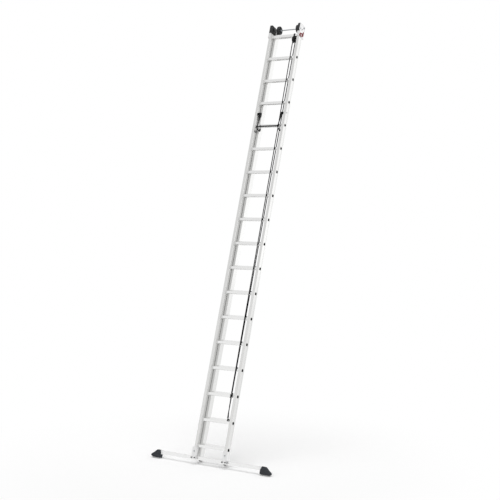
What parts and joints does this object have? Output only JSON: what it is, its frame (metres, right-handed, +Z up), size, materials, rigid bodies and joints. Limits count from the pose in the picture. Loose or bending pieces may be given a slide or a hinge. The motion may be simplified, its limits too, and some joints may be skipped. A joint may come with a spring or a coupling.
{
  "type": "extension ladder",
  "caption": "Two-section rope-operated extension ladder with square rungs, a stabiliser bar at the foot, a rung lock and wall wheels at the top.",
  "frame": {"origin": "floor point under the middle of the whole ladder as it leans", "axes": "+X to the climber's right, +Y away from the climber towards the wall, +Z up; the ladder leans 19.7 degrees from upright about X"},
  "size_m": [1.474, 1.837, 4.8067],
  "materials": {
    "aluminium_profile": "satin extruded",
    "cast_aluminium": "matt cast",
    "black_steel": "satin black coating",
    "zinc_steel": "zinc plated",
    "foot_rubber": "matt",
    "wheel_plastic": "matt",
    "red_plastic": "satin",
    "grey_plastic": "satin",
    "black_plastic": "satin",
    "rope_fibre": "braided"
  },
  "bodies": {
    "base": {"base_stile_right": "aluminium_profile", "base_stile_left": "aluminium_profile", "base_rung_01": "aluminium_profile", "base_rung_02": "aluminium_profile", "base_rung_03": "aluminium_profile", "base_rung_04": "aluminium_profile", "base_rung_05": "aluminium_profile", "base_rung_06": "aluminium_profile", "base_rung_07": "aluminium_profile", "base_rung_08": "aluminium_profile", "base_rung_09": "aluminium_profile", "base_rung_10": "aluminium_profile", "base_rung_11": "aluminium_profile", "base_rung_12": "aluminium_profile", "base_rung_13": "aluminium_profile", "base_rung_14": "aluminium_profile", "base_rung_15": "aluminium_profile", "base_rung_16": "aluminium_profile", "base_rung_17": "aluminium_profile", "base_rung_18": "aluminium_profile", "crossbar": "aluminium_profile", "foot_right": "foot_rubber", "foot_left": "foot_rubber", "stile_bracket_right": "cast_aluminium", "stile_bracket_left": "cast_aluminium", "top_guide_right": "red_plastic", "top_guide_left": "red_plastic", "pulley_block": "black_steel", "pulley_hanger": "black_steel", "haul_rope": "rope_fibre", "lift_rope": "rope_fibre", "rope_cleat": "black_plastic"},
    "fly": {"fly_stile_right": "aluminium_profile", "fly_stile_left": "aluminium_profile", "fly_rung_01": "aluminium_profile", "fly_rung_02": "aluminium_profile", "fly_rung_03": "aluminium_profile", "fly_rung_04": "aluminium_profile", "fly_rung_05": "aluminium_profile", "fly_rung_06": "aluminium_profile", "fly_rung_07": "aluminium_profile", "fly_rung_08": "aluminium_profile", "fly_rung_09": "aluminium_profile", "fly_rung_10": "aluminium_profile", "fly_rung_11": "aluminium_profile", "fly_rung_12": "aluminium_profile", "fly_rung_13": "aluminium_profile", "fly_rung_14": "aluminium_profile", "fly_rung_15": "aluminium_profile", "fly_rung_16": "aluminium_profile", "fly_rung_17": "aluminium_profile", "fly_rung_18": "aluminium_profile", "head_bracket_right": "black_steel", "head_bracket_left": "black_steel", "wheel_axle": "zinc_steel", "rope_tie": "rope_fibre"},
    "wheel_right": {"wall_wheel_right": "wheel_plastic"},
    "wheel_left": {"wall_wheel_left": "wheel_plastic"},
    "lock": {"lock_frame": "black_steel"},
    "sheave": {"pulley_sheave": "grey_plastic"}
  },
  "joints": [
    {"name": "fly_slide", "type": "slide", "parent": "base", "child": "fly", "axis": [0, 0.3371, 0.9415], "range_m": [0, 3.36], "deforming": ["lift_rope"]},
    {"name": "wheel_right_spin", "type": "hinge", "parent": "fly", "child": "wheel_right", "pos_m": [0.1245, 0.86948, 4.75111], "axis": [1, 0, 0], "continuous": true},
    {"name": "wheel_left_spin", "type": "hinge", "parent": "fly", "child": "wheel_left", "pos_m": [-0.1245, 0.86948, 4.75111], "axis": [1, 0, 0], "continuous": true},
    {"name": "lock_swing", "type": "hinge", "parent": "base", "child": "lock", "pos_m": [0, 0.4457, 3.75145], "axis": [-1, 0, 0], "range_deg": [-6.5, 24]},
    {"name": "sheave_spin", "type": "hinge", "parent": "base", "child": "sheave", "pos_m": [0.123, 0.76713, 4.61356], "axis": [1, 0, 0], "continuous": true}
  ],
  "couplings": [
    {"joint": "sheave_spin", "follows": "fly_slide", "rad_per_m": 34.483}
  ]
}
